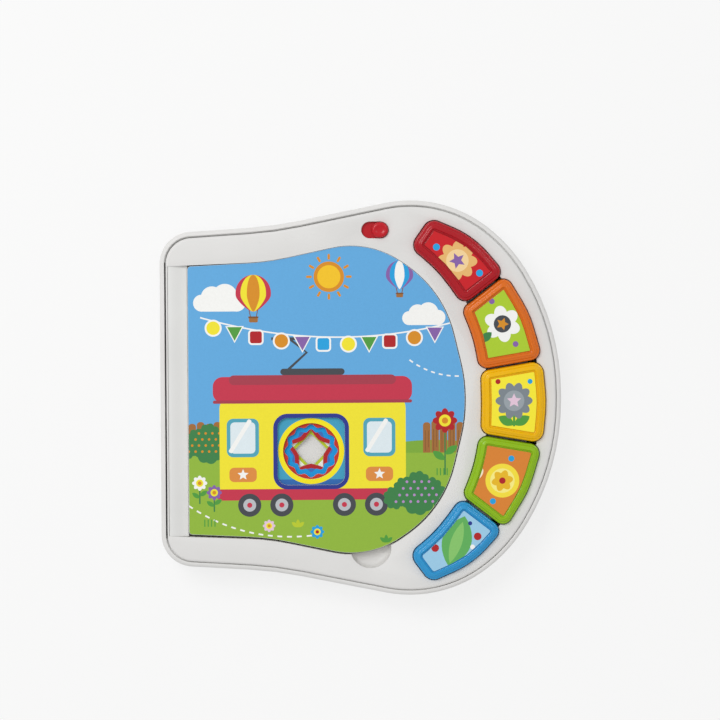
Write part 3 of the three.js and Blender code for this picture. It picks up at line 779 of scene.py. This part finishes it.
def soft_star(x, y, radius, depth, lobes, steps, power=1.0):
    """A round form with lobes, such as a flower or a scalloped ring."""
    result = []
    for i in range(lobes * steps):
        angle = math.tau * i / (lobes * steps)
        wave = abs(math.cos(angle * lobes / 2)) ** power
        r = radius + depth * wave
        result.append((x + r * math.cos(angle), y + r * math.sin(angle)))
    return result


def ellipse(x, y, a, b, angle=0.0):
    points = [(x + a * px, y + b * py) for px, py in circle(0, 0, 1, 40)]
    return turned(points, angle, (x, y))


def leaf(x, y, length, width, angle):
    """A pointed leaf that starts at x, y."""
    upper = [(length * t / 12, width * math.sin(math.pi * t / 12) ** 0.8) for t in range(13)]
    lower = [(px, -py) for px, py in upper[11:0:-1]]
    return moved(turned(list(reversed(upper + lower)), angle), x, y)


def stroke(points, width):
    """A band of even width along a line of points, with square ends."""
    left, right = [], []
    for i, (x, y) in enumerate(points):
        px, py = points[max(0, i - 1)]
        nx, ny = points[min(len(points) - 1, i + 1)]
        tangent = Vector((nx - px, ny - py)).normalized() * (width / 2)
        left.append((x - tangent.y, y + tangent.x))
        right.append((x + tangent.y, y - tangent.x))
    return right + list(reversed(left))


def curve(a, b, c, steps):
    """Points from a to c on an arc that is drawn towards b."""
    return [
        tuple(p * (1 - t) ** 2 + 2 * q * t * (1 - t) + r * t * t for p, q, r in zip(a, b, c))
        for t in (i / steps for i in range(steps + 1))
    ]


def dashes(line, width, color):
    """Strokes of two steps each, with gaps of two steps."""
    return [(stroke(line[i:i + 3], width), color) for i in range(0, len(line) - 1, 4)]


def outlined(points, color, width):
    """A shape with a pale outline round it."""
    points = anticlockwise(points)
    return [(offset(points, width), WHITE), (points, color)]


def cloud(x, y, size):
    puffs = [(-1.3, 0, 0.62), (-0.55, 0.42, 0.8), (0.4, 0.5, 0.9), (1.25, 0.05, 0.68)]
    shapes = [(circle(x + dx * size, y + dy * size, r * size, 32), WHITE) for dx, dy, r in puffs]
    shapes.append((box_outline(x, y - 0.22 * size, 3.0 * size, 0.8 * size, 0.38 * size), WHITE))
    return shapes


def sun(x, y, radius, core, sides):
    return [(circle(x, y, radius, sides), ORANGE), (circle(x, y, core, sides), "F2C21E")]


def dots(color, radius, sides, *places):
    return [(circle(x, y, radius, sides), color) for x, y in places]


def bush(x, y, size, dot):
    puffs = [
        (-1.25, 0, 0.6), (-0.7, 0.5, 0.6), (0, 0.75, 0.66),
        (0.7, 0.45, 0.62), (1.25, -0.02, 0.58), (0, 0, 0.95),
    ]
    shapes = [
        (soft_star(x + dx * size, y + dy * size, r * size * 0.92, 0.1 * size, 9, 6), BUSH)
        for dx, dy, r in puffs
    ]
    for row in range(4):
        for column in range(7 - row):
            dx = (column - (6 - row) / 2) * 0.4
            dy = row * 0.36 - 0.22
            shapes.append((circle(x + dx * size, y + dy * size, 0.075 * size, 14), dot))
    return shapes


def flower(x, y, size, petal, middle, stem=None):
    shapes = []
    if stem:
        shapes.append((box_outline(x, y - stem / 2, 0.9, stem, 0.3), BUSH))
        for share, angle in ((0.62, 35), (0.72, 145)):
            shapes.append((leaf(x, y - stem * share, size * 1.25, size * 0.3, angle), GREEN))
    head = soft_star(x, y, size * 0.75, size * 0.28, 8, 8)
    disc, heart = circle(x, y, size * 0.5, 28), circle(x, y, size * 0.26, 20)
    return shapes + [(head, petal), (disc, YELLOW), (heart, middle)]


def grass_marks(x, y):
    return [(box_outline(x + 2.1 * k, y, 0.7, 4.6, 0.3), GREEN) for k in range(4)]


def tuft(x, y, size, color):
    return [(leaf(x, y, size, size * 0.24, angle), color) for angle in (40, 90, 140)]


def hill(left, right, base, height, color):
    top = [
        (left + (right - left) * i / 40, base + height * math.sin(math.pi * i / 40))
        for i in range(41)
    ]
    return [(right, base - 60), *reversed(top), (left, base - 60)], color


def fence(x0, x1, y, height):
    shapes = []
    width = 5.2
    for k in range(int((x1 - x0) / width)):
        cx = x0 + (k + 0.5) * width
        h = height + (1.1 if k % 2 else 0)
        shapes.append((box_outline(cx, y + h / 2, width - 0.5, h, 2.0), BROWN))
        shapes.append((box_outline(cx - 0.9, y + h * 0.45, 0.35, h * 0.62, 0.15), DARK_BROWN))
        shapes.append((box_outline(cx + 1.0, y + h * 0.5, 0.35, h * 0.5, 0.15), DARK_BROWN))
    return shapes


def balloon(x, y, size, colors):
    """A hot-air balloon with upright gores and a basket."""
    shapes = []
    neck = y - size * 1.18
    for side in (-size, size):
        rope = [(x + side * 0.3, y - size * 0.7), (x + side * 0.16, neck - size * 0.16)]
        shapes.append((stroke(rope, 0.5), DARK_BROWN))
    for k, fraction in enumerate((1.0, 0.72, 0.36)):
        outline = []
        for i in range(48):
            angle = math.tau * i / 48
            px, py = math.cos(angle), math.sin(angle)
            pinch = 1.0 if py > -0.2 else 1.0 - 0.42 * ((-py - 0.2) / 0.8) ** 1.2
            outline.append((x + size * fraction * px * pinch, y + size * 1.04 * py))
        shapes.append((outline, colors[k]))
    basket = box_outline(x, neck - size * 0.3, size * 0.5, size * 0.34, size * 0.08)
    brim = box_outline(x, neck - size * 0.18, size * 0.58, size * 0.1, size * 0.04)
    return shapes + [(basket, BROWN), (brim, DARK_BROWN)]


def window_outline(inset=0.0):
    return rounded(box_corners(*WINDOW, 2 * WINDOW_HALF, 2 * WINDOW_HALF, WINDOW_CORNER), inset, 9)


TRAM_X = -30.5


def cover_art():
    """A tram under a garland, with balloons, clouds, hills and flowers."""
    art = cloud(-88, 60, 8.5) + cloud(39, 50, 7)
    art += sun(-20, 76, 9.5, 7.2, 40)
    ray = box_outline(-20, 76 + 12.4, 1.5, 3.6, 0.7)
    art += [(turned(ray, 30 * k, (-20, 76)), ORANGE) for k in range(12)]
    art += [hill(-135, -20, -36, 9, "7DAA38"), hill(-30, 120, -40, 14, "7DAA38")]
    art += fence(-108, -82, -36, 21) + fence(38, 66, -36, 21)
    art.append(([(-130, -120), (90, -120), (90, -34), (-130, -34)], GRASS))
    art += bush(-95, -30, 10.5, ORANGE)
    # Tram: body, sill, roof and its bands, pole, side windows, lamps and wheels
    for y, width, height, radius, color in (
        (-30, 116, 66, 9, YELLOW), (-59.5, 120, 7, 3, RED), (6, 124, 16, 6, RED),
        (12, 104, 6, 3, DARK_RED), (-1.6, 124, 2.0, 1, DARK_RED), (17, 40, 4, 2, CHARCOAL),
    ):
        art.append((box_outline(TRAM_X, y, width, height, radius), color))
    pole, bow = [(-46, 18), (-34, 29), (-44, 37)], [(-56, 37.6), (-32, 37.6)]
    art += [(stroke(pole, 1.6), CHARCOAL), (stroke(bow, 1.8), CHARCOAL)]
    for cx in (-74, 11):
        glare = turned(box_outline(cx - 2, -24, 2.6, 24, 1), -32, (cx, -24))
        pane = box_outline(cx, -24, 15.5, 19.5, 2.6)
        art += [(box_outline(cx, -24, 20, 24, 4), TEAL), (pane, PALE), (glare, WHITE)]
    for cx in (-74, 11):
        art += [(box_outline(cx, -47, 17, 9, 3), AMBER), (star(cx, -47, 3.6, 1.6), WHITE)]
    for cx in (-70, -50, -11, 9):
        for radius, sides, color in ((7.2, 40, CHARCOAL), (4.0, 32, "B9BDC2"), (1.6, 20, RED)):
            art.append((circle(cx, -66, radius, sides), color))
    art.append((window_outline(-2.6), NAVY))
    # Garland of plain shapes across the sky
    line = curve((-100, 51), (-20, 28), (56, 47), 60)
    art.append((stroke(line, 0.9), WHITE))
    bead_colors = [YELLOW, GREEN, CRIMSON, ORANGE, PURPLE, CYAN]
    for k in range(11):
        x, y = line[3 + 5 * k + (k // 3)]
        pennant = [(x - 4.6, y - 0.6), (x, y - 9.2), (x + 4.6, y - 0.6)]
        beads = (circle(x, y - 4.4, 4.2, 36), pennant, box_outline(x, y - 4.4, 7.4, 7.4, 1.4))
        art += outlined(beads[k % 3], bead_colors[k % 6], (1.1, 1.3, 1.1)[k % 3])
    art += balloon(-67, 66, 11, (RED, YELLOW, ORANGE))
    art += balloon(24, 77, 8.5, (PURPLE, CYAN, WHITE))
    art += dashes(curve((-108, -66), (-70, -92), (-22, -84), 60), 1.0, WHITE)
    art += dashes(curve((30, 24), (46, 12), (66, 14), 30), 0.9, WHITE)
    art += flower(52, -14, 7.5, CRIMSON, ORANGE, 34)
    art += flower(-101, -52, 4.6, WHITE, ORANGE, 13)
    art += flower(-92, -58, 4.6, PURPLE, ORANGE, 12)
    art += bush(35, -62, 11.5, LILAC)
    art += flower(-28, -83, 4.2, CYAN, CRIMSON)
    art += flower(-58, -79, 3.8, PINK, ORANGE)
    art += grass_marks(-98, -77) + grass_marks(47, -46)
    art += tuft(-40, -80, 5, LIME) + tuft(15, -90, 5, GREEN)
    return art


def dotted_field(colors, pitch, radius, x0, y0, x1, y1):
    art = []
    for row in range(int((y1 - y0) / pitch) + 1):
        for column in range(int((x1 - x0) / pitch) + 1):
            x = x0 + column * pitch + (pitch / 2 if row % 2 else 0)
            color = colors[(row * 2 + column) % len(colors)]
            art.append((circle(x, y0 + row * pitch, radius, 16), color))
    return art


def page_art():
    """The first page below the cover: a pond with boats round the opening."""
    wx, wy = WINDOW
    art = [
        hill(-140, 10, 34, 16, "7DB04A"), hill(-20, 120, 30, 22, "8DBE4C"),
        ([(-130, -120), (90, -120), (90, 32), (-130, 32)], "3E93C6"),
    ]
    for k, (x, y) in enumerate(((-84, 8), (28, 12), (-88, -56), (30, -50), (-2, -84))):
        art += dashes(curve((x - 16, y), (x, y - 4 - k % 2), (x + 16, y), 24), 1.4, "7CC0E2")
    art += sun(36, 70, 8, 6, 32)
    art += cloud(-78, 66, 8) + cloud(-8, 80, 6)
    for x, y, sail, hull in ((-84, -14, WHITE, CRIMSON), (30, -14, YELLOW, PURPLE)):
        art += [
            ([(x - 12, y), (x - 8, y - 7), (x + 8, y - 7), (x + 12, y)], hull),
            (box_outline(x, y + 11, 1.2, 22, 0.5), DARK_BROWN),
            ([(x + 1.5, y + 2), (x + 11, y + 2), (x + 1.5, y + 20)], sail),
            ([(x - 1.5, y + 2), (x - 8, y + 2), (x - 1.5, y + 15)], AMBER),
        ]
    for x, y in ((-92, -70), (46, -30), (12, -74)):
        art.append((ellipse(x, y, 6, 3.6), "5BA548"))
        art += flower(x + 1, y + 1, 3.2, PINK, ORANGE)
    band = [(wx - 22, wy - 22), (wx + 22, wy - 22), (wx + 22, wy - 17.6), (wx - 22, wy - 17.6)]
    disc = circle(wx, wy, 20.6, 72)
    return art + [(window_outline(-1.0), "3F9EC0"), (band, "2C68B0"), (disc, "F6E614")]


def build_cover():
    """A board between two printed sheets."""
    low_ink, high_ink = COVER_UNDER + INK_HEIGHT, COVER_TOP - INK_HEIGHT
    core = painted(
        "cover_core", rounded(LEAF_OUTLINE), [window_outline()], [],
        low_ink, high_ink, WHITE, core_board,
    )
    finish_piece(core, "cover", "cover_board", "front_cover")
    sheet, hole = rounded(LEAF_OUTLINE, PRINT_INSET), window_outline(-HOLE_GROWTH)
    front = painted("cover_print", sheet, [hole], cover_art(), high_ink, COVER_TOP, SKY)
    finish_piece(front, "cover", "cover_board")
    verso_art = dotted_field(["F7D54A", "F2A65A", "9ED0E8"], 13, 2.6, -104, -92, 64, 92)
    verso_art += [(window_outline(-5.5), "F2A65A"), (window_outline(-3.2), WHITE)]
    back = painted(
        "cover_inside", sheet, [hole], verso_art, COVER_UNDER, low_ink, "F6E9B8", flip=True,
    )
    finish_piece(back, "cover", "cover_board")


SIDE_PULL = 0.94


def star_opening(tip, waist):
    """A five-pointed opening whose sides bow inwards a little."""
    corners = star(*WINDOW, tip, waist)
    points = []
    for i, start in enumerate(corners):
        end = corners[(i + 1) % len(corners)]
        pulled = [
            middle + ((a + b) / 2 - middle) * SIDE_PULL for middle, a, b in zip(WINDOW, start, end)
        ]
        points += curve(start, pulled, end, 6)[:-1]
    return points


def reach(points, angle):
    """How far a straight line goes from the window's middle to an outline."""
    wx, wy = WINDOW
    across, along = -math.sin(angle), math.cos(angle)
    best = 0.0
    for (ax, ay), (bx, by) in zip(points, points[1:] + points[:1]):
        side_a = (ax - wx) * across + (ay - wy) * along
        side_b = (bx - wx) * across + (by - wy) * along
        if (side_a > 0) != (side_b > 0):
            t = side_a / (side_a - side_b)
            best = max(best, (ax + (bx - ax) * t - wx) * along - (ay + (by - ay) * t - wy) * across)
    return best


def shared_field(first, second):
    """The field that two outlines round the window's middle share."""
    wx, wy = WINDOW
    result = []
    for k in range(240):
        angle = math.tau * k / 240
        radius = min(reach(first, angle), reach(second, angle))
        result.append((wx + radius * math.cos(angle), wy + radius * math.sin(angle)))
    return result


def build_pages():
    """Four leaves, each with a smaller opening than the one above, and their binding."""
    wx, wy = WINDOW
    tips = [(DIAMOND_HALF, 0), (0, DIAMOND_HALF), (-DIAMOND_HALF, 0), (0, -DIAMOND_HALF)]
    holes = [
        circle(*WINDOW, 17.5, 72),
        soft_star(*WINDOW, 14.9, 1.8, 12, 8, power=2.0),
        star_opening(13.0, 8.2),
        rounded([(wx + dx, wy + dy, 1.5) for dx, dy in tips]),
    ]
    wave = soft_star(*WINDOW, 11.7, 1.8, 12, 8, power=2.0)
    red_band = shared_field(star_opening(17.5, 10.9), wave)
    field = circle(*WINDOW, 30, 60)
    prints = [
        ("3E93C6", page_art()),
        ("C8321E", [(field, "C8321E")]),
        ("2F6FB4", [(field, "0A96DC"), (wave, "3A6EB8"), (red_band, CRIMSON)]),
        (LIME, [(field, WHITE), (circle(*WINDOW, 13.2, 4), LIME)]),
    ]
    for number, (hole, (ground, art)) in enumerate(zip(holes, prints)):
        top = PAGES_TOP - number * LEAF_PITCH
        core = painted(
            f"leaf_{number + 1}", rounded(LEAF_OUTLINE), [hole], [],
            top - LEAF, top - INK_HEIGHT, WHITE, core_board,
        )
        finish_piece(core, "case", "page_board", *(["page_block"] if number == 0 else []))
        sheet = painted(
            f"leaf_print_{number + 1}", rounded(LEAF_OUTLINE, PRINT_INSET),
            [offset(hole, HOLE_GROWTH)], art, top - INK_HEIGHT, top, ground,
        )
        finish_piece(sheet, "case", "page_board")
    left = box_mm("page_block")[0][0]
    spine = box_outline(
        (left + CREASE_X) / 2, LEAF_MIDDLE_Y, CREASE_X - left - 0.3, 2 * LEAF_HALF[0][1], 0.6,
    )
    binding = painted(
        "binding", spine, [], [], PAGES_UNDER, STRIP_LOW[2] - 0.3, WHITE, core_board,
    )
    finish_piece(binding, "case", "page_board")


LABEL_ART = {
    "red": ("C8101C", [
        (soft_star(0, 0, 9.2, 3.2, 8, 10), "E6B56E"), (circle(0, 0, 7.0, 40), "F2D29A"),
        (star(0, 0, 5.2, 2.4), PURPLE), *dots(CYAN, 2.2, 20, (-15, -4), (15, 5)),
    ]),
    "orange": ("AACB2C", [
        (soft_star(0, 0, 8.0, 3.4, 6, 10), WHITE), (circle(0, 0, 5.4, 32), CHARCOAL),
        (star(0, 0, 4.0, 2.0), ORANGE), (leaf(-9, -15, 9, 2.6, 60), BUSH),
        (leaf(9, 12, 8, 2.4, 20), BUSH), *dots(PURPLE, 1.8, 20, (12, -9), (-11, 11)),
    ]),
    "yellow": ("F6E833", [
        (leaf(0, -14, 11, 3.0, 152), GREEN), (leaf(0, -14, 11, 3.0, 28), GREEN),
        (box_outline(0, -11, 1.4, 8, 0.6), GREEN), (soft_star(0, 1, 9.0, 2.6, 10, 8), "7C858C"),
        (circle(0, 1, 6.4, 40), "97A0A6"), (star(0, 1, 4.6, 2.2), PINK),
        *dots(CRIMSON, 1.6, 18, (-10, 13)), *dots(CYAN, 1.6, 18, (10, 13)),
    ]),
    "green": ("D9822E", [
        (circle(0, 0, 10.6, 40), "F4DE3C"), (circle(0, 0, 7.6, 40), "F8EC86"),
        *[(ellipse(0, 0, 3.0, 6.8, 20 + 60 * k), "E8B820") for k in range(3)],
        (circle(0, 0, 2.0, 20), CRIMSON), (ellipse(-12, 9, 3.8, 1.9, 40), "F7E9C8"),
        (ellipse(11, -11, 3.8, 1.9, 40), "F7E9C8"), *dots(CYAN, 1.9, 20, (10, 11), (-10, -10)),
    ]),
    "blue": ("9CCBE6", [
        (leaf(-15, -7, 33, 9.2, 24), "5FAE5A"), (leaf(-13, -6, 27, 3.6, 24), "86C46A"),
        *dots(CRIMSON, 2.4, 24, (-12, 7), (11, -8)), *dots(WHITE, 1.5, 18, (-5, 10), (4, -10)),
        *dots(NAVY, 1.3, 18, (14, 1)),
    ]),
}
LABEL_TURN = {"red": -48, "orange": -20, "yellow": 0, "green": 20, "blue": 48}


def build_label(name):
    """A picture card with a plain motif in its middle."""
    outline = rounded(BUTTONS[name], FIELD_INSET[name] + 0.1, 20)
    low, high = box_mm(f"label_{name}")
    x = (min(p[0] for p in outline) + max(p[0] for p in outline)) / 2
    y = (min(p[1] for p in outline) + max(p[1] for p in outline)) / 2
    ground, art = LABEL_ART[name]
    placed = [(moved(turned(points, LABEL_TURN[name]), x, y), color) for points, color in art]
    card = painted(f"picture_{name}", outline, [], placed, low[2], high[2], ground)
    finish_piece(card, f"key_{name}", f"label_card_{name}", f"label_{name}")


build_upper()
build_back(build_lower())
build_door()
build_strip()
build_switch()
build_cover()
build_pages()
for color in COLORS:
    build_button(color)
    build_label(color)

# Finishes of the solids that stay
STAYING = {
    "switch_body": dark_plastic, "keypad_membrane": rubber, "circuit_board": circuit,
    "speaker_frame": steel, "speaker_cone": cone_paper, "speaker_magnet": magnet,
    "battery_1": cell_sleeve, "battery_2": cell_sleeve, "battery_3": cell_sleeve,
    "battery_contacts_front": steel, "battery_contacts_back": steel, "battery_door_screw": steel,
    **{f"case_screw_{k}": steel for k in range(1, 8)},
}
for node, material in STAYING.items():
    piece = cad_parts[node]
    piece.data.materials.clear()
    piece.data.materials.append(material)

# Camera: almost straight above, a little towards the upper left
FRAME_WIDTH = 450.6
DISTANCE = 1600.0
SENSOR = 36.0
CAMERA_X, CAMERA_Y = -60.0, 83.0
AIM = (-0.45, 23.7, 20.0)
ROLL = 0.35

camera_data = bpy.data.cameras.new("camera")
camera_data.sensor_width = SENSOR
camera_data.lens = SENSOR * (DISTANCE - AIM[2]) / FRAME_WIDTH
camera_data.clip_end = 20
camera = put_in_scene("camera", camera_data)
camera.location = Vector((CAMERA_X, CAMERA_Y, DISTANCE)) * MM
camera.rotation_mode = "QUATERNION"
facing = (Vector(AIM) * MM - camera.location).normalized()
right = Vector((math.cos(math.radians(ROLL)), -math.sin(math.radians(ROLL)), 0))
up = right.cross(facing).normalized()
right = facing.cross(up).normalized()
camera.rotation_quaternion = Matrix((right, up, -facing)).transposed().to_quaternion()
bpy.context.scene.camera = camera

# Floor: the camera sees it partly as an even backdrop, so that its edge doesn't show
BACKDROP = color_of("F9F9F9")
FLOOR_EVENNESS = 0.78
HALF_FLOOR = 4000

ground = Nodes("floor", 0.9)
ground.shader.inputs["Specular IOR Level"].default_value = 0.1
ground.shades(ground.noise(3, 2), color_of("F6F6F5"), color_of("F8F8F7"))
backdrop = ground.add("ShaderNodeEmission")
backdrop.inputs["Color"].default_value = BACKDROP
seen = ground.add("ShaderNodeMath", operation="MULTIPLY")
ground.link(ground.add("ShaderNodeLightPath").outputs["Is Camera Ray"], seen.inputs[0])
seen.inputs[1].default_value = FLOOR_EVENNESS
blend = ground.add("ShaderNodeMixShader")
ground.link(seen.outputs["Value"], blend.inputs["Fac"])
ground.link(ground.shader.outputs["BSDF"], blend.inputs[1])
ground.link(backdrop.outputs["Emission"], blend.inputs[2])
ground.link(blend.outputs["Shader"], ground.tree.nodes["Material Output"].inputs["Surface"])
corners = [(x * HALF_FLOOR, y * HALF_FLOOR, 0) for x, y in ((-1, -1), (1, -1), (1, 1), (-1, 1))]
floor = add_object("floor", corners, [(0, 1, 2, 3)], [ground.material])


# Light
KEY_PLACE, KEY_SIZE, KEY_POWER = (-0.8, 0.8, 1.7), 0.9, 17
GLINT_PLACE, GLINT_SIZE, GLINT_POWER = (0.9, 0.7, 1.0), 0.35, 3
WORLD_STRENGTH = 0.66


def area_light(name, place, size, power):
    data = bpy.data.lights.new(name, "AREA")
    data.shape = "SQUARE"
    data.size = size
    data.energy = power
    lamp = put_in_scene(name, data)
    lamp.location = place
    lamp.rotation_mode = "QUATERNION"
    lamp.rotation_quaternion = (-Vector(place)).to_track_quat("-Z", "Y")
    return lamp


area_light("key", KEY_PLACE, KEY_SIZE, KEY_POWER)
area_light("glint", GLINT_PLACE, GLINT_SIZE, GLINT_POWER).visible_diffuse = False
world = bpy.data.worlds.new("world")
world.use_nodes = True
nodes, links = world.node_tree.nodes, world.node_tree.links
background = nodes["Background"]
background.inputs["Color"].default_value = (1.0, 1.0, 1.0, 1.0)
background.inputs["Strength"].default_value = WORLD_STRENGTH
shown = nodes.new("ShaderNodeBackground")
shown.inputs["Color"].default_value = BACKDROP
mixer = nodes.new("ShaderNodeMixShader")
rays = nodes.new("ShaderNodeLightPath")
links.new(rays.outputs["Is Camera Ray"], mixer.inputs["Fac"])
links.new(background.outputs["Background"], mixer.inputs[1])
links.new(shown.outputs["Background"], mixer.inputs[2])
links.new(mixer.outputs["Shader"], nodes["World Output"].inputs["Surface"])
bpy.context.scene.world = world
bpy.context.scene.view_settings.view_transform = "Standard"
